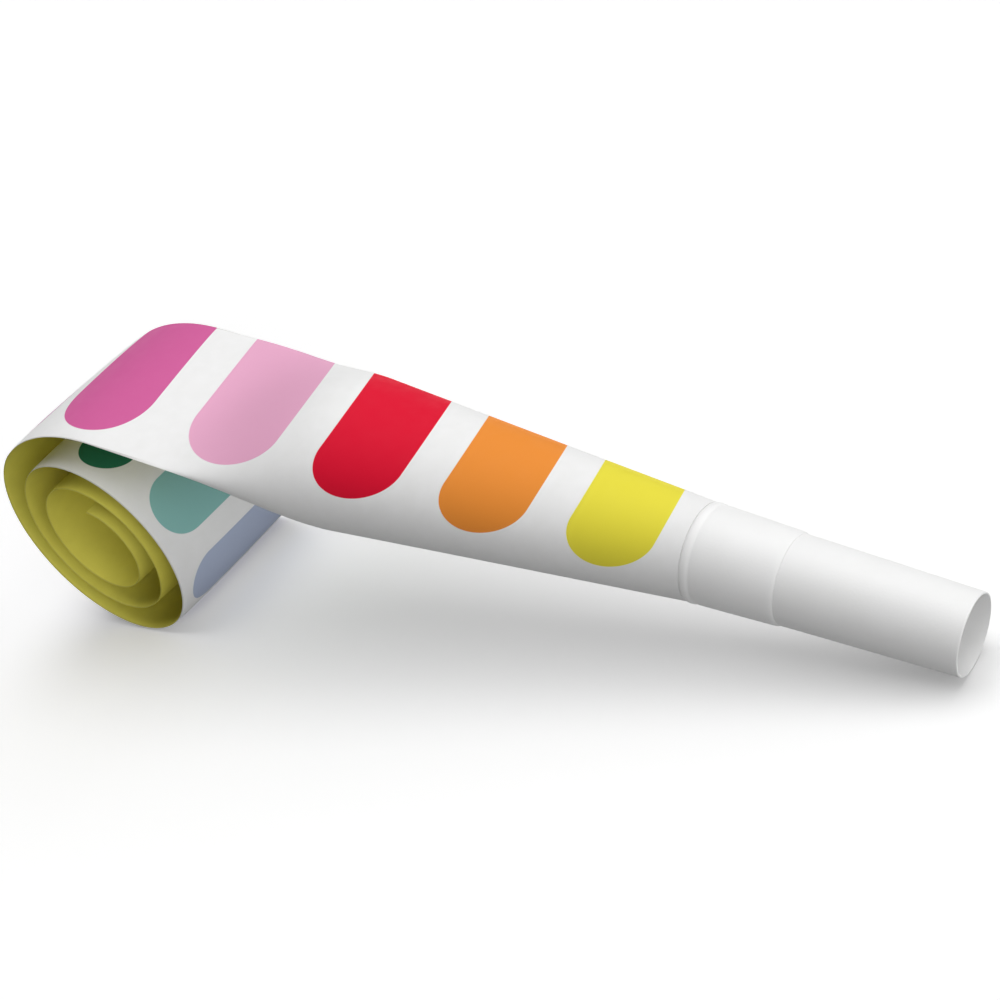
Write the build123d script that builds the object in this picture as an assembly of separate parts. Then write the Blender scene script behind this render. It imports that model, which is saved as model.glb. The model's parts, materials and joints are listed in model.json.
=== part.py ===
from build123d import *
import math
import os

# Party horn blower: mouthpiece, joining collar, reed unit and a flat paper sleeve, rolled up at its end.
# The pieces are drawn along the tube: the lips' end is at x = 0 and the sleeve runs towards -X,
# Y runs across the sleeve and Z points out of its printed face. At the end the whole blower is turned
# to lie on a table, on its roll and on the lip of the mouthpiece, with the origin under the middle of it.

# Driving dimensions, in millimetres and degrees

# Mouthpiece
mouth_radius = 5.5          # outside, at the lip
lip_round = 0.25            # outer edge of the lip
grip_length = 24.2          # from the lip to the collar
grip_root_radius = 6.2      # outside, beside the collar
mouth_bore_radius = 4.9
mouth_bore_depth = 18.0
tail_radius = 5.9           # the part that goes into the collar
tail_length = 16.0
tail_bore_radius = 4.6      # seat of the reed unit
fit_gap = 0.03              # between pieces that are pushed or glued together

# Joining collar
collar_length = 13.2
collar_step = 0.2           # how far its front edge stands above the mouthpiece
bead_length = 1.2
bead_height = 0.12
spigot_length = 4.0         # the end that the paper is glued to
spigot_wall = 0.67
spigot_gap = 0.1            # room for glue under the paper

# Reed unit
reed_setback = 4.0          # from the end of the grip to the front of the reed block, towards the lip
reed_flange_length = 3.0
reed_table_length = 11.0
channel_width = 3.2
channel_depth = 2.4
channel_stop = 1.5          # wall that closes the channel's far end
reed_width = 4.4
reed_thickness = 0.25
reed_foot_length = 3.0
reed_tongue_length = 7.0
reed_gap = 0.1              # at the reed's bending line

# Paper sleeve
sleeve_width = 32.0
sleeve_thickness = 0.9
sleeve_wall = 0.2
cone_length = 58.0          # from the collar to where the sleeve starts to flatten
cone_width = 27.0           # oval at the end of the cone
cone_height = 20.6
cone_sag = 1.5              # how far the oval hangs below the tube's axis
cone_steps = 3
flatten_length = 30.0       # from the cone to the flat strip
flatten_steps = 6
round_split = 37.0          # where the side arcs of the round section end
flat_length = 12.0          # flat run up to the roll

# Roll
segment_count = 24
roll_turn = 1080.0          # whole angle of the roll
lead_in_radius = 34.4       # first segment, where the flat run starts to bend
roll_outer_radius = 20.95   # second segment, on the printed face
roll_inner_radius = 8.2     # last segment, on the printed face
segment_gap = 0.1           # at each fold line

# Recoil strip and end seal
recoil_width = 5.0
recoil_thickness = 0.25
anchor_length = 10.0
seal_length = 2.0

# Sizes that follow

collar_bore_radius = tail_radius + fit_gap
collar_front_radius = grip_root_radius + collar_step
spigot_radius = collar_bore_radius + spigot_wall
throat_radius = spigot_radius + spigot_gap + sleeve_wall
collar_start = grip_length + fit_gap
collar_end = collar_start + collar_length
throat_start = collar_end + fit_gap
flatten_start = throat_start + cone_length
flat_start = flatten_start + flatten_length
roll_start = flat_start + flat_length
segment_turn = math.radians(roll_turn / segment_count)

reed_radius = tail_bore_radius - fit_gap
reed_start = grip_length - reed_setback
reed_table_start = reed_start + reed_flange_length
reed_bend = reed_table_start + fit_gap + reed_foot_length + reed_gap / 2

recoil_depth = sleeve_thickness / 2 - sleeve_wall - fit_gap - recoil_thickness / 2


def station_plane(station, sag=0.0):
    """Section plane across the tube, or a little below its axis: its x is Y and its y is Z."""
    return Plane(origin=(-station, 0, -sag), x_dir=(0, 1, 0), z_dir=(1, 0, 0))


def turned(outline):
    """Revolve an outline of (station, radius) points about the tube's axis."""
    points = [(-station, 0, radius) for station, radius in outline]
    return revolve(Face(Wire.make_polygon(points, close=True)), Axis.X)


def block(station, length, low, height, width):
    """Box across the tube, from a station backwards and from a height upwards."""
    align = (Align.MAX, Align.CENTER, Align.MIN)
    return Pos(-station, 0, low) * Box(length, width, height, align=align)


# Mouthpiece, collar and reed

def mouthpiece():
    tail_end = grip_length + tail_length
    tube = turned([
        (0, mouth_bore_radius),
        (0, mouth_radius),
        (grip_length, grip_root_radius),
        (grip_length, tail_radius),
        (tail_end, tail_radius),
        (tail_end, tail_bore_radius),
        (mouth_bore_depth, tail_bore_radius),
        (mouth_bore_depth, mouth_bore_radius),
    ])
    lip = tube.edges().filter_by(GeomType.CIRCLE).group_by(Axis.X)[-1].sort_by(SortBy.RADIUS)[-1]
    return fillet(lip, lip_round)


def joining_collar():
    bead_start = collar_end - bead_length
    front = Vector(-collar_start, 0, collar_front_radius)
    bead_front = Vector(-bead_start, 0, throat_radius)
    bead_top = Vector(-bead_start - bead_length / 2, 0, throat_radius + bead_height)
    bead_back = Vector(-collar_end, 0, throat_radius)
    spigot_end = collar_end + spigot_length
    rest = [
        bead_back,
        (-collar_end, 0, spigot_radius),
        (-spigot_end, 0, spigot_radius),
        (-spigot_end, 0, collar_bore_radius),
        (-collar_start, 0, collar_bore_radius),
        front,
    ]
    bead = ThreePointArc(bead_front, bead_top, bead_back)
    outline = [Line(front, bead_front), bead, *Polyline(*rest).edges()]
    return revolve(Face(Wire(outline)), Axis.X)


def reed_block():
    flange = extrude(station_plane(reed_start) * Circle(reed_radius), -reed_flange_length)
    table = extrude(station_plane(reed_table_start) * Circle(reed_radius), -reed_table_length)
    table -= block(reed_table_start, reed_table_length, 0, reed_radius, 2 * reed_radius)
    channel_length = reed_flange_length + reed_table_length - channel_stop
    channel = block(reed_start, channel_length, -channel_depth, channel_depth, channel_width)
    return flange + table - channel


def reed_strip(station, length):
    return block(station, length, fit_gap, reed_thickness, reed_width)


def reed_wedge():
    low = 2 * fit_gap + reed_thickness
    front = reed_table_start + fit_gap
    plug = extrude(station_plane(front) * Circle(reed_radius), -reed_foot_length)
    return plug - block(front, reed_foot_length, -reed_radius, reed_radius + low, 2 * reed_radius)


# Sleeve

def oval(half_width, half_height, side_radius):
    """Section with round sides: its top and bottom are tangent arcs, or lines where it is flat."""
    side = half_width - side_radius
    crown = half_height - side_radius
    if crown > fit_gap:
        top_radius = (side**2 + half_height**2 - side_radius**2) / (2 * crown)
        split = math.degrees(math.atan2(top_radius - half_height, side))
    else:
        top_radius = half_height
        split = round_split if side < fit_gap else 90
    drop = half_height - top_radius
    if split < 90:
        top = CenterArc((0, drop), top_radius, split, 180 - 2 * split)
        bottom = CenterArc((0, -drop), top_radius, 180 + split, 180 - 2 * split)
    else:
        top = Line((side, half_height), (-side, half_height))
        bottom = Line((-side, -half_height), (side, -half_height))
    right = CenterArc((side, 0), side_radius, -split, 2 * split)
    left = CenterArc((-side, 0), side_radius, 180 - split, 2 * split)
    return Face(Wire([right, top, left, bottom]))


def cone_section(share, inset):
    """Section at a share of the cone: it grows steadily from round to an oval, and sags."""
    half_width = throat_radius + (cone_width / 2 - throat_radius) * share
    half_height = throat_radius + (cone_height / 2 - throat_radius) * share
    side_radius = half_height**2 / half_width
    section = oval(half_width - inset, half_height - inset, side_radius - inset)
    return station_plane(throat_start + share * cone_length, share * cone_sag) * section


def flattening_section(share, inset):
    """Section at a share of the flattening: it grows wide as a sine and low as a squared cosine."""
    swing = share * math.pi / 2
    flat = sleeve_thickness / 2
    fall = math.cos(swing) ** 2
    half_width = (cone_width + (sleeve_width - cone_width) * math.sin(swing)) / 2
    half_height = flat + (cone_height / 2 - flat) * fall
    side_radius = flat + (cone_height**2 / cone_width / 2 - flat) * fall * (1 - share)
    section = oval(half_width - inset, half_height - inset, side_radius - inset)
    return station_plane(flatten_start + share * flatten_length, fall * cone_sag) * section


def strip_section(inset):
    """Flattened tube of the sleeve, drawn in from the paper's outside by an inset."""
    edge = sleeve_thickness / 2 - inset
    return oval(sleeve_width / 2 - inset, edge, edge)


def throat_form(inset):
    """Cone, flattening and flat run of the sleeve, drawn in from the paper's outside by an inset."""
    cone = [cone_section(step / cone_steps, inset) for step in range(cone_steps + 1)]
    flattening = [flattening_section(step / flatten_steps, inset) for step in range(flatten_steps)]
    flat = station_plane(flat_start) * strip_section(inset)
    return loft(cone) + loft([*flattening, flat]) + extrude(flat, -(flat_length - segment_gap / 2))


def sleeve_throat():
    return throat_form(0) - throat_form(sleeve_wall)


def roll_arcs():
    """Centre, radius on the printed face and first angle of each segment, from the flat run inwards."""
    arcs = []
    x, z, angle = -roll_start, sleeve_thickness / 2, 0.0
    step = (roll_outer_radius - roll_inner_radius) / (segment_count - 2)
    for index in range(segment_count):
        radius = roll_outer_radius - step * (index - 1) if index else lead_in_radius
        center = Vector(x + radius * math.sin(angle), 0, z - radius * math.cos(angle))
        arcs.append((center, radius, angle))
        angle += segment_turn
        x = center.X - radius * math.sin(angle)
        z = center.Z + radius * math.cos(angle)
    return arcs


def least_turn_gap(points_per_segment=8):
    """Least gap between one turn of the roll and the next, measured on points along the strip's middle."""
    points = []
    for center, radius, angle in roll_arcs():
        for step in range(points_per_segment):
            at = angle + segment_turn * step / points_per_segment
            points.append(center + Vector(-math.sin(at), 0, math.cos(at)) * (radius - sleeve_thickness / 2))
    half_turn = round(points_per_segment * math.pi / segment_turn)
    spans = [(b - a).length for index, a in enumerate(points) for b in points[index + half_turn:]]
    return min(spans) - sleeve_thickness


def band(arc, section, start_gap, end_gap):
    """Turn a section of the strip along an arc of the roll, less a gap at each end."""
    center, radius, angle = arc
    middle = radius - sleeve_thickness / 2
    first = angle + start_gap / middle
    last = angle + segment_turn - end_gap / middle
    plane = Plane(origin=center, x_dir=(0, 1, 0), z_dir=(math.cos(first), 0, math.sin(first)))
    return revolve(plane * Pos(0, middle) * section, Axis(center, (0, -1, 0)), math.degrees(last - first))


def sleeve_segment(arc):
    return band(arc, strip_section(0) - strip_section(sleeve_wall), segment_gap / 2, segment_gap / 2)


def recoil_strip(arc, is_last):
    section = Pos(0, -recoil_depth) * Rectangle(recoil_width, recoil_thickness)
    end_gap = seal_length + segment_gap if is_last else segment_gap / 2
    return band(arc, section, segment_gap / 2, end_gap)


def recoil_anchor():
    start = roll_start - anchor_length
    length = anchor_length - segment_gap / 2
    low = -recoil_depth - recoil_thickness / 2
    return block(start, length, low, recoil_thickness, recoil_width)


def end_seal(arc):
    middle = arc[1] - sleeve_thickness / 2
    start_gap = segment_turn * middle - seal_length
    return band(arc, strip_section(sleeve_wall + fit_gap), start_gap, segment_gap / 2)


# Resting place

def resting_tilt():
    """Angle that brings the roll and the lip down to one table."""
    lip_z = lip_round - mouth_radius
    for center, radius, angle in roll_arcs():
        along, up = -lip_round - center.X, lip_z - center.Z
        tilt = math.atan2(up, along) - math.asin((lip_round - radius) / math.hypot(along, up))
        if angle <= math.pi + tilt <= angle + segment_turn:
            return math.degrees(tilt)


def resting_place(ends):
    """Location that lays the blower on the table, with the origin under the middle of its end pieces."""
    tilt = Rot(0, resting_tilt(), 0)
    box = Compound([tilt * piece for piece in ends]).bounding_box()
    middle = box.center()
    return Pos(-middle.X, -middle.Y, -box.min.Z) * tilt


def all_pieces():
    pieces = {
        "mouthpiece": mouthpiece(),
        "joining_collar": joining_collar(),
        "reed_block": reed_block(),
        "reed_foot": reed_strip(reed_table_start + fit_gap, reed_foot_length),
        "reed_wedge": reed_wedge(),
        "reed_tongue": reed_strip(reed_bend + reed_gap / 2, reed_tongue_length),
        "sleeve_throat": sleeve_throat(),
        "recoil_anchor": recoil_anchor(),
    }
    arcs = roll_arcs()
    for number, arc in enumerate(arcs, start=1):
        pieces[f"sleeve_segment_{number:02d}"] = sleeve_segment(arc)
        pieces[f"recoil_strip_{number:02d}"] = recoil_strip(arc, number == segment_count)
    pieces["end_seal"] = end_seal(arcs[-1])
    return pieces


blower = all_pieces()
ends = [piece for node, piece in blower.items() if node.startswith(("mouthpiece", "sleeve_segment"))]
place = resting_place(ends)
os.makedirs("parts", exist_ok=True)
for node, piece in blower.items():
    export_step(place * piece, f"parts/{node}.step")
print(len(blower), "pieces, tilt", round(resting_tilt(), 3), "degrees")
print("least gap between turns of the roll:", round(least_turn_gap(), 2), "mm")
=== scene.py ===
# %% [markdown]
# # A party blower in Blender
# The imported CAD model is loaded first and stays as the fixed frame: its solids say where every piece is.
# What follows dresses it. Plastic tubes are turned finer, and the paper sleeve becomes one smooth skin with
# its print on it. Every piece is modelled in the drawing's own place, with the tube along X and the lip at
# zero, and is laid down on the table at the end, because that keeps every number as simple as on the drawing.

# %% Load the frame
import json
import math

import bpy
from mathutils import Matrix, Vector


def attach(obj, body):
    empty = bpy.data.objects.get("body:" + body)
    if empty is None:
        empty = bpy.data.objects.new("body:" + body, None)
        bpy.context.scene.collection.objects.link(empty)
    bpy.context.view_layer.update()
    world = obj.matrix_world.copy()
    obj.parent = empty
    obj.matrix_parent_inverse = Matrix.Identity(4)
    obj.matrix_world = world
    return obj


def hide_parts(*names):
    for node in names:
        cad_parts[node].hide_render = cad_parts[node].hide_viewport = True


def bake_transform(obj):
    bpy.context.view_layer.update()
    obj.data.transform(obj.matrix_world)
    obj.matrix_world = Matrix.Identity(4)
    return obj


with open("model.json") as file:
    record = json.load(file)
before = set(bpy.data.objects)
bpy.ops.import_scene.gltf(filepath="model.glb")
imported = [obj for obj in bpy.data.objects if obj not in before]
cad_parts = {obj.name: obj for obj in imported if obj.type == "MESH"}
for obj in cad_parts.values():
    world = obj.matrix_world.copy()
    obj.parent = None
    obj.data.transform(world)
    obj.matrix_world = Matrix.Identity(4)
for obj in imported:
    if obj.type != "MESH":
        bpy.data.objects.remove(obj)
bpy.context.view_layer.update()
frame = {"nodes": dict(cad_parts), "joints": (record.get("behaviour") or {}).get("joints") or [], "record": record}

# %% [markdown]
# The blower lies on its lip and on its roll, so the tube leans. The record's mount in the mouthpiece's bore
# gives a point on the tube's axis and the axis itself. From these comes one matrix that lays a drawn piece
# down.

# %% Where the tube lies
MM = 0.001
mouth_mount = next(m for m in frame["record"]["mounts"] if m["name"] == "mouth_bore")
tube_axis = Vector(mouth_mount["axis"]).normalized()
mount_station = mouth_mount["dims"]["length_mm"] / 2 * MM
lip_centre = Vector(mouth_mount["pos_m"]) + tube_axis * mount_station
tube_tilt = math.atan2(-tube_axis.z, tube_axis.x)
lying = Matrix.Translation(lip_centre) @ Matrix.Rotation(tube_tilt, 4, "Y")
print("lip centre", [round(c, 5) for c in lip_centre], "tilt", round(math.degrees(tube_tilt), 3))

# %% [markdown]
# The camera stands where the photograph was taken from: a little in front of the lip, on the near side and
# above. Its place and its directions are given in the drawing's frame, and the lens is a mild telephoto.
# A camera in Blender looks along its own -Z with +Y up, so the columns of its matrix are right, up and back.

# %% Camera
EYE = (57.73, -142.51, 162.37)      # where the camera stands, in millimetres
SENSOR_WIDTH = 36.0
LENS = 63.7
NEAREST = 0.005                     # nothing nearer than this is drawn, in metres
camera_right = Vector((0.8228, 0.5413, -0.1732)).normalized()
camera_forward = Vector((-0.5081, 0.564, -0.651)).normalized()
camera_up = camera_right.cross(camera_forward).normalized()
camera_right = camera_forward.cross(camera_up)
camera_turn = Matrix((camera_right, camera_up, -camera_forward)).transposed().to_4x4()
bpy.ops.object.select_all(action="DESELECT")
bpy.ops.object.camera_add()
camera = bpy.context.object
camera.name = "photo_camera"
camera.matrix_world = lying @ Matrix.Translation(Vector(EYE) * MM) @ camera_turn
camera.data.sensor_width = SENSOR_WIDTH
camera.data.lens = LENS
camera.data.clip_start = NEAREST
bpy.context.scene.camera = camera
bpy.context.scene.view_settings.view_transform = "Standard"
print("camera at", [round(c, 4) for c in camera.matrix_world.translation], "lens", camera.data.lens)

# %% [markdown]
# The light is a wide, soft one from above, like a big softbox over the table, with a weaker one from behind
# and two low ones from the lip's end, one on each side. The photograph shows that: the top and the lip's end
# are bright, and what faces the viewer from below is dark. Wide suns are used, because they light the whole
# floor evenly.

# %% Light
SOFTBOX_DISTANCE = 0.6


def add_softbox(name, towards, energy, width):
    """A wide sun that shines from a direction, as a large softbox does. Its width is an angle in degrees."""
    bpy.ops.object.light_add(type="SUN", location=Vector(towards) * SOFTBOX_DISTANCE)
    softbox = bpy.context.object
    softbox.name = name
    softbox.data.energy = energy
    softbox.data.angle = math.radians(width)
    softbox.rotation_euler = Vector(towards).to_track_quat("Z", "Y").to_euler()
    print("light", name, energy)


add_softbox("softbox_above", towards=(0.0, 0.08, 1.0), energy=1.55, width=60)
add_softbox("softbox_behind", towards=(0.0, 0.6, 0.8), energy=0.6, width=60)
add_softbox("softbox_lip_far", towards=(0.8, 0.5, 0.25), energy=0.9, width=50)
add_softbox("softbox_lip_near", towards=(0.85, -0.45, 0.12), energy=1.7, width=50)

# %% [markdown]
# Every finish here is a node material. A few helpers keep the recipes readable: one turns a colour picked on
# a screen into the linear numbers that a shader wants, and one adds a Math node and returns its result, so
# that a formula reads in the order in which it is worked out. The others add a ramp, a mix of two colours,
# a noise and a bump.

# %% Helpers for finishes
NOISE_LOW = 0.3         # most of a noise lies between these two
NOISE_HIGH = 0.7


def paint(red, green, blue):
    """A screen colour from 0 to 255 as a linear shader colour."""
    shares = [c / 255 for c in (red, green, blue)]
    return [s / 12.92 if s <= 0.04045 else ((s + 0.055) / 1.055) ** 2.4 for s in shares] + [1.0]


def set_input(tree, node, name, value):
    """Give a node's input a number, a colour, or a link from another node's output."""
    if isinstance(value, bpy.types.NodeSocket):
        tree.links.new(value, node.inputs[name])
    else:
        node.inputs[name].default_value = value


def calc(tree, operation, *values):
    """Add a Math node for one operation on numbers or outputs, and return its result."""
    node = tree.nodes.new("ShaderNodeMath")
    node.operation = operation
    for index, value in enumerate(values):
        set_input(tree, node, index, value)
    return node.outputs[0]


def ramp_between(tree, value, low, high, at_low, at_high):
    """A value that runs from at_low to at_high while another runs from low to high, and stays there."""
    node = tree.nodes.new("ShaderNodeMapRange")
    settings = {"Value": value, "From Min": low, "From Max": high, "To Min": at_low, "To Max": at_high}
    for name, setting in settings.items():
        set_input(tree, node, name, setting)
    return node.outputs["Result"]


def mixed(tree, share, first, second):
    """One colour where the share is 0 and another where it is 1."""
    node = tree.nodes.new("ShaderNodeMix")
    node.data_type = "RGBA"
    for name, kind, value in (("Factor", "VALUE", share), ("A", "RGBA", first), ("B", "RGBA", second)):
        index = next(i for i, s in enumerate(node.inputs) if s.name == name and s.type == kind)
        set_input(tree, node, index, value)
    return next(s for s in node.outputs if s.type == "RGBA")


def grain(tree, scale, detail):
    """Fine cloudy noise in the object's own coordinates, as a value around one half."""
    where = tree.nodes.new("ShaderNodeTexCoord")
    noise = tree.nodes.new("ShaderNodeTexNoise")
    noise.inputs["Scale"].default_value = scale
    noise.inputs["Detail"].default_value = detail
    tree.links.new(where.outputs["Object"], noise.inputs["Vector"])
    return noise.outputs["Fac"]


def vary_roughness(tree, shader, noise, least, most):
    """Let a noise move the roughness between two limits."""
    tree.links.new(ramp_between(tree, noise, NOISE_LOW, NOISE_HIGH, least, most), shader.inputs["Roughness"])


def roughen(tree, shader, height, depth):
    """Let a height value stand out of the surface by a small depth in metres."""
    bump = tree.nodes.new("ShaderNodeBump")
    bump.inputs["Distance"].default_value = depth
    tree.links.new(height, bump.inputs["Height"])
    tree.links.new(bump.outputs["Normal"], shader.inputs["Normal"])


def new_finish(name):
    """A new node material: the material, its tree and its shader."""
    finish = bpy.data.materials.new(name)
    finish.use_nodes = True
    return finish, finish.node_tree, finish.node_tree.nodes["Principled BSDF"]


print("a white of 249 on a screen is", round(paint(249, 249, 249)[0], 3), "to a shader")

# %% [markdown]
# The floor is plain and keeps only the shadow. The floor and the sky are white to the eye, but darker to the
# rays that light the blower, because a white table would light its undersides too much. The Light Path node
# tells the two kinds of ray apart, and shiny or clear surfaces show what the eye would see.

# %% Sky and floor
WHITE = (1.0, 1.0, 1.0, 1.0)
FLOOR_SIZE = 6.0
FLOOR_DROP = 0.0002     # the floor lies a hair below the blower, in metres


def by_eye(tree, for_others, for_eye):
    """A number that differs for the eye and for the rays that light the blower."""
    rays = tree.nodes.new("ShaderNodeLightPath").outputs
    shiny = calc(tree, "MAXIMUM", rays["Is Camera Ray"], rays["Is Glossy Ray"])
    seen = calc(tree, "MAXIMUM", shiny, rays["Is Transmission Ray"])
    return ramp_between(tree, seen, 0.0, 1.0, for_others, for_eye)


sky = bpy.data.worlds.new("white_sky")
bpy.context.scene.world = sky
sky.use_nodes = True
sky_glow = sky.node_tree.nodes["Background"]
sky_glow.inputs["Color"].default_value = WHITE
sky_strength = by_eye(sky.node_tree, for_others=0.03, for_eye=1.0)
sky.node_tree.links.new(sky_strength, sky_glow.inputs["Strength"])

bpy.ops.mesh.primitive_plane_add(size=FLOOR_SIZE, location=(0, 0, -FLOOR_DROP))
floor = bpy.context.object
floor.name = "table_top"
table_white, tree, shader = new_finish("table_white")
shader.inputs["Roughness"].default_value = 0.9
shader.inputs["Specular IOR Level"].default_value = 0.0
shader.inputs["Emission Color"].default_value = WHITE
tree.links.new(by_eye(tree, for_others=0.0, for_eye=0.2), shader.inputs["Emission Strength"])
tree.links.new(by_eye(tree, for_others=0.32, for_eye=0.98), shader.inputs["Base Color"])
floor.data.materials.append(table_white)
print("floor", floor.name, "sky", sky.name)

# %% [markdown]
# The mouthpiece and the collar are moulded in white plastic, and two pieces of the reed inside in grey.
# Moulded plastic is not one flat colour: its gloss changes a little in patches and the skin has a very faint
# texture. Both come from noise, kept so weak that they only break up the highlights.

# %% Moulded plastics
PATCH_DETAIL = 3.0
SKIN_DETAIL = 2.0
SKIN_DEPTH = 0.000012
SATIN_SHINE = 0.35
PLAIN_SHINE = 0.5


def moulded_plastic(name, patch_scale, skin_scale, dark, light, roughness, shine):
    """A plastic between two tints, with patches in its gloss and a fine skin."""
    finish, tree, shader = new_finish(name)
    patches = grain(tree, patch_scale, PATCH_DETAIL)
    skin = grain(tree, skin_scale, SKIN_DETAIL)
    tree.links.new(mixed(tree, patches, paint(*dark), paint(*light)), shader.inputs["Base Color"])
    vary_roughness(tree, shader, patches, *roughness)
    roughen(tree, shader, skin, SKIN_DEPTH)
    shader.inputs["Specular IOR Level"].default_value = shine
    print("finish", finish.name, len(tree.nodes), "nodes")
    return finish


white_plastic = moulded_plastic(
    "white_plastic", patch_scale=160.0, skin_scale=2600.0, dark=(243, 243, 242), light=(249, 249, 249),
    roughness=(0.34, 0.46), shine=SATIN_SHINE)
reed_plastic = moulded_plastic(
    "reed_plastic", patch_scale=240.0, skin_scale=3000.0, dark=(196, 198, 200), light=(214, 215, 216),
    roughness=(0.4, 0.55), shine=PLAIN_SHINE)

# %% [markdown]
# Two thin films are inside: the milky reed, and the brown strip that curls the sleeve up. They are rarely
# seen, but a part is taken apart sometimes. A drawn film is streaky, and one noise gives its streaks in
# colour, gloss and skin. The pieces of the reed and the strip's root keep their CAD solids, which only need
# their finish.

# %% Films, and finishes of the pieces inside
STREAK_DETAIL = 4.0
STREAK_DEPTH = 0.000004


def streaky_film(name, scale, dark, light, roughness):
    """A glossy film between two tints, with streaks."""
    finish, tree, shader = new_finish(name)
    streaks = grain(tree, scale, STREAK_DETAIL)
    tree.links.new(mixed(tree, streaks, paint(*dark), paint(*light)), shader.inputs["Base Color"])
    vary_roughness(tree, shader, streaks, *roughness)
    roughen(tree, shader, streaks, STREAK_DEPTH)
    print("finish", finish.name, len(tree.nodes), "nodes")
    return finish


reed_film = streaky_film(
    "reed_film", scale=900.0, dark=(222, 224, 220), light=(236, 238, 234), roughness=(0.2, 0.32))
recoil_film = streaky_film(
    "recoil_film", scale=700.0, dark=(176, 150, 104), light=(196, 172, 128), roughness=(0.22, 0.34))

carried_finishes = {
    "reed_block": reed_plastic, "reed_wedge": reed_plastic,
    "reed_foot": reed_film, "reed_tongue": reed_film, "recoil_anchor": recoil_film,
}
for node, finish in carried_finishes.items():
    materials = frame["nodes"][node].data.materials
    materials.clear()
    materials.append(finish)
print("CAD pieces with a finish:", ", ".join(carried_finishes))

# %% [markdown]
# The print is a row of tongues across the paper, round at the near end. It is drawn by formulas, so its edges
# stay sharp at any distance. Each piece of the sleeve carries a UV map in metres: how far along the strip a
# point is, and how far across. The tongues are counted from the magenta one, the broadest, and stand closer
# towards both ends of the row. So the distance of a tongue is its number times a pitch, less a little for
# the square of its number. Solving that for the number gives a square root.

# %% Place in the row of tongues
PRINT_CENTRE = 142.8        # station in the magenta tongue that the row is counted from, in millimetres
CONE_PITCH = 26.2           # pitch of the tongues there, towards the mouthpiece
CONE_CLOSING = 0.8          # half of what the pitch loses from one tongue to the next
ROLL_PITCH = 19.3           # the same two along the roll
ROLL_CLOSING = 0.287
BROAD_SIDE = 3.8            # where the roll's pitch starts to count
CONE_RUN = 92.0             # from the magenta tongue to the last one at the collar
CONE_LEAN = -0.06           # how far a tongue leans there, for each millimetre across
ROLL_RUN = 75.0             # how far along the roll the lean takes to grow
ROLL_LEAN = 0.19
LEAST_ROOT = 1.0            # keeps the root real past the ends of the row

printed_paper, tree, shader = new_finish("printed_paper")
uv = tree.nodes.new("ShaderNodeUVMap")
uv.uv_map = "print"
split = tree.nodes.new("ShaderNodeSeparateXYZ")
tree.links.new(uv.outputs["UV"], split.inputs["Vector"])
along = calc(tree, "MULTIPLY_ADD", split.outputs["X"], 1 / MM, PRINT_CENTRE)
across = calc(tree, "MULTIPLY", split.outputs["Y"], 1 / MM)

lean_on_roll = ramp_between(tree, along, -ROLL_RUN, 0.0, 0.0, ROLL_LEAN)
lean_on_cone = ramp_between(tree, along, 0.0, CONE_RUN, 0.0, CONE_LEAN)
lean = calc(tree, "ADD", lean_on_roll, lean_on_cone)
leaning = calc(tree, "MULTIPLY_ADD", lean, across, along)
towards = calc(tree, "SIGN", leaning)
on_roll = calc(tree, "MULTIPLY_ADD", towards, -0.5, 0.5)
widest = calc(tree, "MULTIPLY_ADD", on_roll, ROLL_PITCH - CONE_PITCH, CONE_PITCH)
closing = calc(tree, "MULTIPLY_ADD", on_roll, ROLL_CLOSING - CONE_CLOSING, CONE_CLOSING)
distance = calc(tree, "MULTIPLY_ADD", on_roll, -BROAD_SIDE, calc(tree, "ABSOLUTE", leaning))
distance = calc(tree, "MAXIMUM", distance, 0.0)
lost = calc(tree, "MULTIPLY", calc(tree, "MULTIPLY", closing, 4.0), distance)
under_root = calc(tree, "SUBTRACT", calc(tree, "POWER", widest, 2.0), lost)
pitch = calc(tree, "SQRT", calc(tree, "MAXIMUM", under_root, LEAST_ROOT))
count = calc(tree, "SUBTRACT", widest, pitch)
count = calc(tree, "DIVIDE", count, calc(tree, "MULTIPLY", closing, 2.0))
count = calc(tree, "MULTIPLY", count, towards)
number = calc(tree, "ROUND", count)
print("finish", printed_paper.name, "counts tongues with", len(tree.nodes), "nodes")

# %% [markdown]
# Each tongue is a bar whose near end is a half circle. A point is inside when its distance to a line is less
# than half the tongue's width, where the line starts at the half circle's centre. The magenta tongue has a
# width and a place of its own. The colours follow from the tongue's number, by a ramp of plain steps.

# %% Shape and colour of a tongue
HALF_TONGUE = 0.338         # half a tongue's width, as a share of the pitch
BROAD_HALF = 9.65           # half the magenta tongue
BROAD_SHIFT = 1.7           # how far its middle lies from PRINT_CENTRE, towards the roll
TIP_OF_BROAD = -13.5        # how far across the tips are: of the magenta tongue, and of the one at the collar
TIP_AT_COLLAR = -8.2
INK_EDGE = 0.05             # half the width of the ink's edge
LAST_TONGUE = 4             # the yellow one at the collar, counted from the magenta one
tongue_colours = [
    (45, 119, 91), (143, 196, 191), (180, 191, 215), (126, 132, 196), (116, 98, 176), (142, 86, 164),
    (178, 88, 160), (214, 100, 160), (237, 175, 206), (225, 20, 52), (242, 148, 60), (238, 226, 70),
]
FIRST_TONGUE = LAST_TONGUE - len(tongue_colours) + 1

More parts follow.
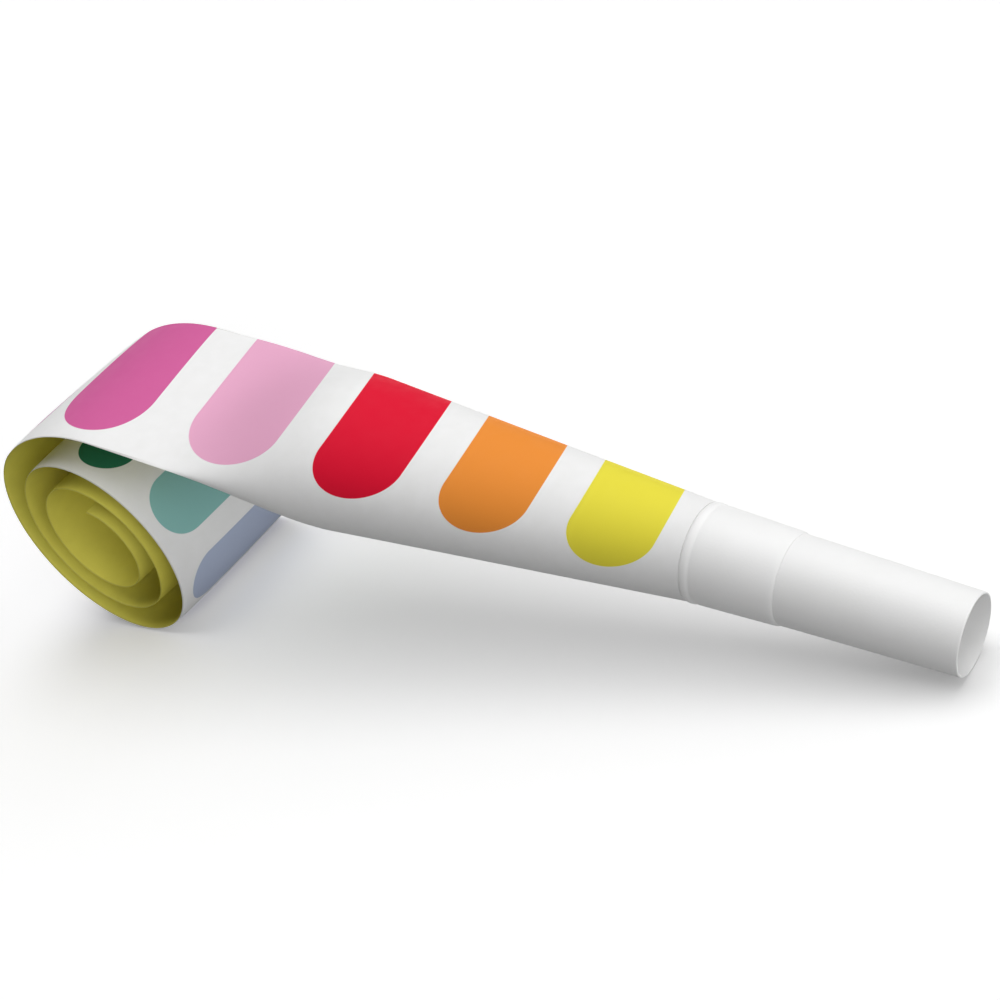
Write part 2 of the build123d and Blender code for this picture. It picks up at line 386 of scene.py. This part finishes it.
beside = calc(tree, "MULTIPLY", calc(tree, "SUBTRACT", count, number), pitch)
half_tongue = calc(tree, "MULTIPLY", pitch, HALF_TONGUE)
is_broad = calc(tree, "COMPARE", number, 0.0, 0.5)
beside_broad = calc(tree, "SUBTRACT", calc(tree, "ADD", leaning, BROAD_SHIFT), beside)
beside = calc(tree, "MULTIPLY_ADD", is_broad, beside_broad, beside)
broader = calc(tree, "SUBTRACT", BROAD_HALF, half_tongue)
half_tongue = calc(tree, "MULTIPLY_ADD", is_broad, broader, half_tongue)
tip = ramp_between(tree, number, 0.0, float(LAST_TONGUE), TIP_OF_BROAD, TIP_AT_COLLAR)
before_centre = calc(tree, "SUBTRACT", calc(tree, "ADD", tip, half_tongue), across)
before_centre = calc(tree, "MAXIMUM", before_centre, 0.0)
beside_squared = calc(tree, "POWER", beside, 2.0)
before_squared = calc(tree, "POWER", before_centre, 2.0)
from_line = calc(tree, "SQRT", calc(tree, "ADD", beside_squared, before_squared))
outside = calc(tree, "SUBTRACT", from_line, half_tongue)
in_tongue = ramp_between(tree, outside, -INK_EDGE, INK_EDGE, 1.0, 0.0)
before_last = calc(tree, "LESS_THAN", number, LAST_TONGUE + 0.5)
after_first = calc(tree, "GREATER_THAN", number, FIRST_TONGUE - 0.5)
in_row = calc(tree, "MULTIPLY", before_last, after_first)
in_tongue = calc(tree, "MULTIPLY", in_tongue, in_row)

colours = tree.nodes.new("ShaderNodeValToRGB")
colours.color_ramp.interpolation = "CONSTANT"
stops = colours.color_ramp.elements
stops.remove(stops[1])
stops[0].color = paint(*tongue_colours[0])
for index, colour in enumerate(tongue_colours[1:], start=1):
    stops.new(index / len(tongue_colours)).color = paint(*colour)
place_in_row = calc(tree, "SUBTRACT", number, FIRST_TONGUE - 0.5)
tree.links.new(calc(tree, "DIVIDE", place_in_row, float(len(tongue_colours))), colours.inputs["Fac"])
print("tongues from", FIRST_TONGUE, "to", LAST_TONGUE, "in", len(stops), "colours")

# %% [markdown]
# The sheet itself is white outside and yellow inside. The yellow also comes through to the outer face at the
# inner end of the roll, past the print. A value called side, stored on the mesh, tells the printed face from
# the one below. Fibres come from two noises, and a dark line along the folded edges of the flat strip and the roll
# is painted shade.

# %% Printed paper
PRINT_END = 172.0           # how far the white face goes from PRINT_CENTRE, along the roll
LINING_START = 127.0        # station where the yellow lining starts
EDGE_SHADE_FROM = 15.7            # how far across the painted edge shade starts and ends
EDGE_SHADE_TO = 15.95
EDGE_SHADE_SHARE = 0.35
STRIP_FROM = 20.0           # where the painted edge shade starts along the strip, and where it is full
STRIP_FULL = 12.0
FIBRE_DEPTH = 0.00001
PAPER_SHINE = 0.1

side_node = tree.nodes.new("ShaderNodeAttribute")
side_node.attribute_name = "side"
on_top = calc(tree, "GREATER_THAN", side_node.outputs["Fac"], 0.0)
fibres = grain(tree, scale=420.0, detail=4.0)
fine_fibres = grain(tree, scale=3800.0, detail=3.0)
bare_paper = mixed(tree, fibres, paint(242, 242, 241), paint(249, 249, 249))
lining = mixed(tree, fibres, paint(220, 212, 92), paint(231, 223, 102))
printed = mixed(tree, in_tongue, bare_paper, colours.outputs["Color"])
still_printed = calc(tree, "GREATER_THAN", along, -PRINT_END)
top_face = mixed(tree, still_printed, lining, printed)
still_white = calc(tree, "GREATER_THAN", along, PRINT_CENTRE - LINING_START)
under_face = mixed(tree, still_white, lining, bare_paper)
sheet = mixed(tree, on_top, under_face, top_face)
off_middle = calc(tree, "ABSOLUTE", across)
# painted shade: a dark line along the folded edges of the flat strip and the roll
painted_edge_shade = ramp_between(tree, off_middle, EDGE_SHADE_FROM, EDGE_SHADE_TO, 0.0, EDGE_SHADE_SHARE)
on_strip = ramp_between(tree, along, STRIP_FULL, STRIP_FROM, 1.0, 0.0)
painted_edge_shade = calc(tree, "MULTIPLY", painted_edge_shade, on_strip)
# the dark olive mixed in at the folded edges is painted shade
tree.links.new(mixed(tree, painted_edge_shade, sheet, paint(96, 90, 60)), shader.inputs["Base Color"])
vary_roughness(tree, shader, fibres, least=0.58, most=0.7)
roughen(tree, shader, fine_fibres, FIBRE_DEPTH)
shader.inputs["Specular IOR Level"].default_value = PAPER_SHINE
print("finish", printed_paper.name, len(tree.nodes), "nodes")

# %% [markdown]
# The tube pieces are all drawn out the same way. A circle of points is set at the first station, and its ring
# is extruded from station to station and resized to each section's half width and half height. That is how
# one would do it by hand with the extrude and scale keys.

# %% Drawing out a tube
RING_POINTS = 64
ACROSS_TUBE = (0, math.pi / 2, 0)       # turns a flat circle or plane to stand across the tube


def start_piece(name):
    """An empty mesh object, in edit mode, that the next primitives are drawn into."""
    bpy.ops.object.select_all(action="DESELECT")
    bpy.ops.mesh.primitive_plane_add(size=MM)
    piece = bpy.context.object
    piece.name = name
    piece.data.name = name
    bpy.ops.object.mode_set(mode="EDIT")
    bpy.ops.mesh.select_all(action="SELECT")
    bpy.ops.mesh.delete(type="VERT")
    return piece


def draw_out(sections, points):
    """Set a ring at the first section and extrude it through the others.

    A section is its station, half width, half height and sag.
    """
    station, half_width, half_height, sag = sections[0]
    spot = Vector((-station, 0, -sag)) * MM
    bpy.ops.mesh.select_all(action="DESELECT")
    bpy.ops.mesh.primitive_circle_add(
        vertices=points, radius=half_width * MM, location=spot, rotation=ACROSS_TUBE)
    bpy.ops.transform.resize(value=(1, 1, half_height / half_width), center_override=spot)
    for before, now in zip(sections, sections[1:]):
        last_spot = spot
        spot = Vector((-now[0], 0, -now[3])) * MM
        bpy.ops.mesh.extrude_region_move(TRANSFORM_OT_translate={"value": spot - last_spot})
        growth = (1, now[1] / before[1], now[2] / before[2])
        bpy.ops.transform.resize(value=growth, center_override=spot)


print("rings of", RING_POINTS, "points")

# %% [markdown]
# Three more helpers finish a mesh. One selects edges by their place, so that open rims can be bridged. One
# merges doubles, points all faces outwards and smooths what is not a sharp edge. The last lays the drawn
# piece down on the table, in its mesh, and gives it its finish.

# %% Finishing a mesh
DOUBLES = 0.0005 * MM       # points nearer than this are one point
SHARP_EDGE = 35.0           # degrees


def select_edges(piece, wanted):
    """In edit mode, select the edges whose two ends both fit a test on their place."""
    bpy.ops.mesh.select_mode(type="EDGE")
    bpy.ops.mesh.select_all(action="DESELECT")
    bpy.ops.object.mode_set(mode="OBJECT")
    ends = [wanted(v.co) for v in piece.data.vertices]
    for edge in piece.data.edges:
        edge.select = all(ends[index] for index in edge.vertices)
    bpy.ops.object.mode_set(mode="EDIT")


def close_up():
    """Point all faces of the piece being edited outwards, leave edit mode and smooth what is not sharp."""
    bpy.ops.mesh.select_all(action="SELECT")
    bpy.ops.mesh.remove_doubles(threshold=DOUBLES)
    bpy.ops.mesh.normals_make_consistent(inside=False)
    bpy.ops.object.mode_set(mode="OBJECT")
    bpy.ops.object.shade_smooth_by_angle(angle=math.radians(SHARP_EDGE))


def lay_down(piece, finish):
    """Bring a drawn piece to its place on the table, in its mesh, and give it its finish."""
    bpy.ops.object.select_all(action="DESELECT")
    piece.select_set(True)
    bpy.context.view_layer.objects.active = piece
    piece.matrix_world = lying
    bpy.ops.object.transform_apply(location=True, rotation=True, scale=True)
    piece.data.materials.append(finish)


print("edges sharper than", SHARP_EDGE, "degrees stay sharp")

# %% [markdown]
# The mouthpiece is a lathe shape: a tube that grows slightly from the lip, with a thinner tail inside the
# collar. The ring of points goes down the outside, turns in at the tail and comes back along the bore to the
# lip, and a bridge closes it there. A few close points round the lip, which is the part one's mouth touches.

# %% Mouthpiece
TURNED_POINTS = 128
RIM_REACH = 0.002           # a point this near to a rim is on it, in millimetres


def turned_piece(name, outline):
    """A closed turned tube from its (station, radius) outline, the last point bridged to the first."""
    piece = start_piece(name)
    draw_out([(station, radius, radius, 0.0) for station, radius in outline], TURNED_POINTS)
    rims = (outline[0], outline[-1])

    def on_rim(place):
        here = (-place.x / MM, math.hypot(place.y, place.z) / MM)
        return any(math.dist(here, rim) < RIM_REACH for rim in rims)

    select_edges(piece, on_rim)
    bpy.ops.mesh.bridge_edge_loops()
    close_up()
    return piece


mouthpiece = turned_piece("mouthpiece_tube", [
    (0.0, 5.28), (0.0, 5.38), (0.03, 5.45), (0.1, 5.49), (0.25, 5.507),
    (6.0, 5.674), (12.0, 5.847), (18.0, 6.021), (24.1, 6.197), (24.2, 6.19), (24.2, 5.9),
    (32.0, 5.9), (40.0, 5.9), (40.2, 5.75), (40.2, 4.75), (40.0, 4.6), (30.0, 4.6), (18.0, 4.6),
    (18.0, 4.9), (9.0, 4.9), (3.4, 4.9), (2.6, 4.92), (1.6, 5.0), (0.08, 5.21), (0.02, 5.24),
])
lay_down(mouthpiece, white_plastic)
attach(mouthpiece, "base")
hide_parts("mouthpiece")
print(mouthpiece.name, len(mouthpiece.data.polygons), "faces")

# %% [markdown]
# The collar joins the mouthpiece to the paper. It stands a fifth of a millimetre above the mouthpiece, which
# draws the thin line at its front, and it ends in a fine bead beside the paper, with a shallow groove before
# it. Behind the bead a spigot goes inside the sleeve, where the paper is glued on.

# %% Joining collar
collar = turned_piece("joining_collar_ring", [
    (24.23, 5.93), (24.23, 6.21), (24.3, 6.25), (24.42, 6.3), (24.6, 6.35), (24.85, 6.395), (25.2, 6.43),
    (30.0, 6.642), (35.62, 6.876), (35.7, 6.872), (35.98, 6.825), (36.12, 6.825), (36.32, 6.905),
    (36.52, 6.965), (36.83, 6.995), (37.14, 6.97), (37.32, 6.92), (37.43, 6.84), (37.43, 6.6),
    (41.3, 6.6), (41.43, 6.5), (41.43, 5.93),
])
lay_down(collar, white_plastic)
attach(collar, "base")
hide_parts("joining_collar")
print(collar.name, len(collar.data.polygons), "faces")

# %% [markdown]
# The print has to be told where each point of the paper is. One helper writes that on a drawn piece: a UV map
# named print, in metres along and across the strip, and the value called side. Side is positive on the
# printed face, negative below, and zero at the two folded edges.

# %% Map for the print
def write_print_map(piece, where):
    """Give a drawn piece its print map and its side value: where(place) returns along, across and side."""
    marks = [where(v.co / MM) for v in piece.data.vertices]
    print_map = piece.data.uv_layers.new(name="print")
    corners = [length for loop in piece.data.loops for length in marks[loop.vertex_index][:2]]
    print_map.data.foreach_set("uv", [length * MM for length in corners])
    side_value = piece.data.attributes.new("side", "FLOAT", "POINT")
    side_value.data.foreach_set("value", [mark[2] for mark in marks])


print("the print is read from the map", uv.uv_map, "and the value", side_node.attribute_name)

# %% [markdown]
# The sleeve leaves the collar as a round cone, puffed by air, and is pressed flat before the roll. The cone
# grows steadily to an oval that hangs a little low. Then the height falls away as a squared cosine while the
# width grows as a sine, and the last stretch is the flat strip. These sections are worked out for the outside
# of the paper and for its inside.

# %% Sections of the throat
THROAT_START = 37.46
THROAT_RADIUS = 6.9
CONE_LENGTH = 58.0
CONE_HALF_WIDTH = 13.5
CONE_HALF_HEIGHT = 10.3
CONE_SAG = 1.5
CONE_STEPS = 14
FLATTEN_LENGTH = 30.0
FLATTEN_STEPS = 30
FLAT_LENGTH = 12.0
FLAT_STEPS = 6
STRIP_HALF_WIDTH = 16.0
STRIP_HALF_HEIGHT = 0.45
PAPER = 0.2
INNER_HALF_WIDTH = 15.2
ROLL_START = THROAT_START + CONE_LENGTH + FLATTEN_LENGTH + FLAT_LENGTH


def throat_sections(paper):
    """Sections of the throat: outside for no paper, or drawn in by the paper's thickness."""
    sections = []
    strip_half_width = INNER_HALF_WIDTH if paper else STRIP_HALF_WIDTH
    for step in range(CONE_STEPS):
        share = step / CONE_STEPS
        half_width = THROAT_RADIUS + (CONE_HALF_WIDTH - THROAT_RADIUS) * share
        half_height = THROAT_RADIUS + (CONE_HALF_HEIGHT - THROAT_RADIUS) * share
        station = THROAT_START + share * CONE_LENGTH
        sections.append((station, half_width - paper, half_height - paper, CONE_SAG * share))
    for step in range(FLATTEN_STEPS):
        share = step / FLATTEN_STEPS
        fall = math.cos(share * math.pi / 2) ** 2
        half_width = CONE_HALF_WIDTH - paper
        half_width += (strip_half_width - half_width) * math.sin(share * math.pi / 2)
        half_height = STRIP_HALF_HEIGHT + (CONE_HALF_HEIGHT - STRIP_HALF_HEIGHT) * fall
        station = THROAT_START + CONE_LENGTH + share * FLATTEN_LENGTH
        sections.append((station, half_width, half_height - paper, CONE_SAG * fall))
    for step in range(FLAT_STEPS + 1):
        station = ROLL_START - FLAT_LENGTH * (1 - step / FLAT_STEPS)
        sections.append((station, strip_half_width, STRIP_HALF_HEIGHT - paper, 0.0))
    return sections


outer_sections = throat_sections(0.0)
inner_sections = throat_sections(PAPER)
print("throat:", len(outer_sections), "sections up to station", round(ROLL_START, 2))

# %% [markdown]
# One ring of points is drawn out through all the outer sections and a second one through the inner ones, and
# both ends are bridged, so the sleeve is a real hollow tube. On the puffed cone the tongues stay straight to
# the eye. So its print map is thrown down from the viewer's side onto the strip's own plane, the way a label
# is lined up by eye before it is stuck on, and it passes over to the plain map on the flat stretch.

# %% Sleeve throat
END_REACH = 0.001           # a point this near to an end is on it, in millimetres


def on_throat(place):
    """Where a point of the throat falls on the strip's plane, seen from the eye, and its height."""
    flatness = min(max((-place.x - ROLL_START) / FLAT_LENGTH + 1, 0), 1)
    throw = (EYE[2] - STRIP_HALF_HEIGHT) / (EYE[2] - place.z) * (1 - flatness) + flatness
    along_strip = EYE[0] + (place.x - EYE[0]) * throw
    across_strip = EYE[1] + (place.y - EYE[1]) * throw
    section = min(outer_sections, key=lambda section: abs(section[0] + place.x))
    return along_strip, across_strip, place.z + section[3]


throat = start_piece("sleeve_cone")
draw_out(outer_sections, RING_POINTS)
draw_out(inner_sections, RING_POINTS)
for end in (THROAT_START, ROLL_START):
    select_edges(throat, lambda place: abs(-place.x / MM - end) < END_REACH)
    bpy.ops.mesh.bridge_edge_loops()
close_up()
write_print_map(throat, on_throat)
lay_down(throat, printed_paper)
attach(throat, "base")
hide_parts("sleeve_throat")
print(throat.name, len(throat.data.polygons), "faces")

# %% [markdown]
# The rest of the sleeve is rolled up. In the CAD model it is divided at hinges, because a rigid model can't
# bend everywhere. Here each hinge gets one piece of soft paper that reaches from the middle of one segment to
# the middle of the next, so that no joint line falls on a hinge. The
# arcs are worked out as on the drawing, and the hinges of the imported model confirm them.

# %% Arcs of the roll
ROLL_TURN = 1080.0          # whole angle of the roll, in degrees
LEAD_IN_RADIUS = 34.4       # first arc, then the second and the last, on the printed face
OUTER_RADIUS = 20.95
INNER_RADIUS = 8.2
hinges = [j for j in frame["joints"] if j["name"].startswith("unroll")]
SEGMENTS = len(hinges)
SEGMENT_TURN = math.radians(ROLL_TURN) / SEGMENTS


def outwards(angle):
    """The direction out of the roll at one of its angles: up at the start, then towards the far end."""
    return Vector((-math.sin(angle), 0, math.cos(angle)))


arcs = []
fold = Vector((-ROLL_START, 0, STRIP_HALF_HEIGHT))
run = 0.0
for index in range(SEGMENTS):
    share = (index - 1) / (SEGMENTS - 2)
    radius = OUTER_RADIUS + (INNER_RADIUS - OUTER_RADIUS) * share if index else LEAD_IN_RADIUS
    first = index * SEGMENT_TURN
    centre = fold - outwards(first) * radius
    arcs.append({"centre": centre, "radius": radius, "first": first, "run": run, "fold": fold})
    fold = centre + outwards(first + SEGMENT_TURN) * radius
    run += radius * SEGMENT_TURN
drawn_folds = [lying @ (arc["fold"] * MM) for arc in arcs]
misses = [(spot - Vector(hinge["pos_m"])).length / MM for spot, hinge in zip(drawn_folds, hinges)]
print("roll:", SEGMENTS, "arcs,", round(run, 1), "mm of strip")
print("farthest hinge", round(max(misses), 5), "mm off")

# %% [markdown]
# A piece of the roll starts as a ring too, turned to stand across the strip, and the Spin tool sweeps it
# round the arc's centre. The two halves of a piece turn about two centres, since the roll tightens inwards.
# With no window open, Rotate needs its centre told, so the ring's own centre is given to it.

# %% Sweeping along the roll
SPIN_STEPS = 16             # for half a segment
FEWEST_STEPS = 4


def on_arc(arc, angle, depth):
    """A point of the strip in the drawing, at an angle of the roll and a depth below the printed face."""
    return arc["centre"] + outwards(angle) * (arc["radius"] - depth)


def add_standing_ring(arc, angle, half_width, half_height, fill="NOTHING"):
    """An oval across the strip at an angle of the roll, as a ring or, with a fill, as a face."""
    spot = on_arc(arc, angle, STRIP_HALF_HEIGHT) * MM
    bpy.ops.mesh.select_all(action="DESELECT")
    bpy.ops.mesh.primitive_circle_add(
        vertices=RING_POINTS, radius=half_width * MM, fill_type=fill, location=spot, rotation=ACROSS_TUBE)
    bpy.ops.transform.resize(value=(1, 1, half_height / half_width), center_override=spot)
    bpy.ops.transform.rotate(value=angle, orient_axis="Y", center_override=spot)


def spans_of(index, short_of_end=0.0):
    """The parts of arcs that one piece covers: (arc, first angle, last angle).

    The last piece goes to the end of the roll, or stops short of it by an angle.
    """
    middle = SEGMENT_TURN / 2
    spans = []
    if index:
        before = arcs[index - 1]
        spans.append((before, before["first"] + middle, before["first"] + SEGMENT_TURN))
    own = arcs[index]
    reach = SEGMENT_TURN - short_of_end if index == SEGMENTS - 1 else middle
    spans.append((own, own["first"], own["first"] + reach))
    return spans


def sweep(spans):
    """Spin what is selected along the spans."""
    for arc, start, end in spans:
        steps = max(FEWEST_STEPS, round(SPIN_STEPS * (end - start) / (SEGMENT_TURN / 2)))
        bpy.ops.mesh.spin(steps=steps, angle=end - start, center=arc["centre"] * MM, axis=(0, 1, 0))


def close_ends(piece, spans):
    """Bridge the outer and the inner ring at both ends of a swept piece."""
    first_arc, first_angle, _ = spans[0]
    last_arc, _, last_angle = spans[-1]
    for arc, angle in ((first_arc, first_angle), (last_arc, last_angle)):
        spot = on_arc(arc, angle, 0) * MM
        out = outwards(angle)
        onwards = Vector((-math.cos(angle), 0, -math.sin(angle)))
        half_way = arc["radius"] / 2 * MM

        def on_end(place):
            step = place - spot
            return abs(step.dot(onwards)) < RIM_REACH * MM and abs(step.dot(out)) < half_way

        select_edges(piece, on_end)
        bpy.ops.mesh.bridge_edge_loops()


print("each half segment is swept in", SPIN_STEPS, "steps")

# %% [markdown]
# One more thing belongs to a piece of the roll. Its print map is plain, since the paper only bends: how far
# along the arcs, and how far across. Then its place is baked into its mesh.

# %% Pieces of the roll
ANGLE_REACH = 0.0001        # a point this little past a span still belongs to it


def place_on_roll(spans):
    """A map for the print on a piece of the roll."""
    def where(place):
        for arc, start, end in spans:
            turn = place - arc["centre"]
            angle = math.atan2(-turn.x, turn.z)
            angle += 2 * math.pi * round(((start + end) / 2 - angle) / (2 * math.pi))
            if angle <= end + ANGLE_REACH:
                break
        off_centre = math.hypot(turn.x, turn.z)
        along_strip = -ROLL_START - arc["run"] - arc["radius"] * (angle - arc["first"])
        return along_strip, place.y, off_centre - (arc["radius"] - STRIP_HALF_HEIGHT)
    return where


def bend_with_roll(piece, index):
    """Work out where a piece's bend would start and end, and bake the piece's place into its mesh."""
    first_arc, first_angle, _ = spans_of(index)[0]
    middle = arcs[index]["first"] + SEGMENT_TURN / 2
    start = lying @ (on_arc(first_arc, first_angle, STRIP_HALF_HEIGHT) * MM)
    end = lying @ (on_arc(arcs[index], middle, STRIP_HALF_HEIGHT) * MM)
    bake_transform(piece)


roll_pieces = []
for index in range(SEGMENTS):
    spans = spans_of(index)
    arc, angle, _ = spans[0]
    piece = start_piece(f"sleeve_roll_{index + 1:02d}")
    add_standing_ring(arc, angle, STRIP_HALF_WIDTH, STRIP_HALF_HEIGHT)
    sweep(spans)
    add_standing_ring(arc, angle, INNER_HALF_WIDTH, STRIP_HALF_HEIGHT - PAPER)
    sweep(spans)
    close_ends(piece, spans)
    close_up()
    write_print_map(piece, place_on_roll(spans))
    lay_down(piece, printed_paper)
    bend_with_roll(piece, index)
    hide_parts(f"sleeve_segment_{index + 1:02d}")
    roll_pieces.append(piece)
print(len(roll_pieces), "pieces of the roll,", sum(len(p.data.polygons) for p in roll_pieces), "faces")

# %% [markdown]
# Inside the sleeve a thin film is what rolls it up again. It is one strip, curled when it was made, and it
# lies on the inner layer of paper. A small upright face is swept along the same arcs as the paper.
# A spin that starts from a face leaves a closed bar with both ends on it.

# %% Recoil film
FILM_WIDTH = 5.0
FILM_THICKNESS = 0.25
FILM_GAP = 0.03             # between the film and the inner layer of paper
FILM_DEPTH = STRIP_HALF_HEIGHT * 2 - PAPER - FILM_GAP - FILM_THICKNESS / 2
SEAL_LENGTH = 2.0
END_GAP = 0.1
END_RADIUS = INNER_RADIUS - STRIP_HALF_HEIGHT

film_pieces = []
for index in range(SEGMENTS):
    spans = spans_of(index, (SEAL_LENGTH + END_GAP) / END_RADIUS)
    arc, angle, _ = spans[0]
    piece = start_piece(f"recoil_film_{index + 1:02d}")
    spot = on_arc(arc, angle, FILM_DEPTH) * MM
    bpy.ops.mesh.primitive_plane_add(size=MM, location=spot, rotation=ACROSS_TUBE)
    bpy.ops.transform.resize(value=(1, FILM_WIDTH, FILM_THICKNESS), center_override=spot)
    bpy.ops.transform.rotate(value=angle, orient_axis="Y", center_override=spot)
    sweep(spans)
    close_up()
    lay_down(piece, recoil_film)
    bend_with_roll(piece, index)
    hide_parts(f"recoil_strip_{index + 1:02d}")
    film_pieces.append(piece)
print(len(film_pieces), "pieces of film,", sum(len(p.data.polygons) for p in film_pieces), "faces")

# %% [markdown]
# The sleeve has to hold air, so its inner end is glued shut. The seal is a short plug of the same yellow
# paper between the two layers, made as an oval face that is spun round the last two millimetres of the
# roll.

# %% End seal
SEAL_HALF_WIDTH = 15.1
SEAL_HALF_HEIGHT = 0.22
last_arc = arcs[-1]
seal_end = last_arc["first"] + SEGMENT_TURN - END_GAP / 2 / END_RADIUS
seal_start = seal_end - SEAL_LENGTH / END_RADIUS
seal_span = (last_arc, seal_start, seal_end)
seal = start_piece("end_seal_plug")
add_standing_ring(last_arc, seal_start, SEAL_HALF_WIDTH, SEAL_HALF_HEIGHT, fill="NGON")
sweep([seal_span])
close_up()
write_print_map(seal, place_on_roll([seal_span]))
lay_down(seal, printed_paper)
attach(seal, hinges[-1]["child"])
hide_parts("end_seal")
print(seal.name, len(seal.data.polygons), "faces")
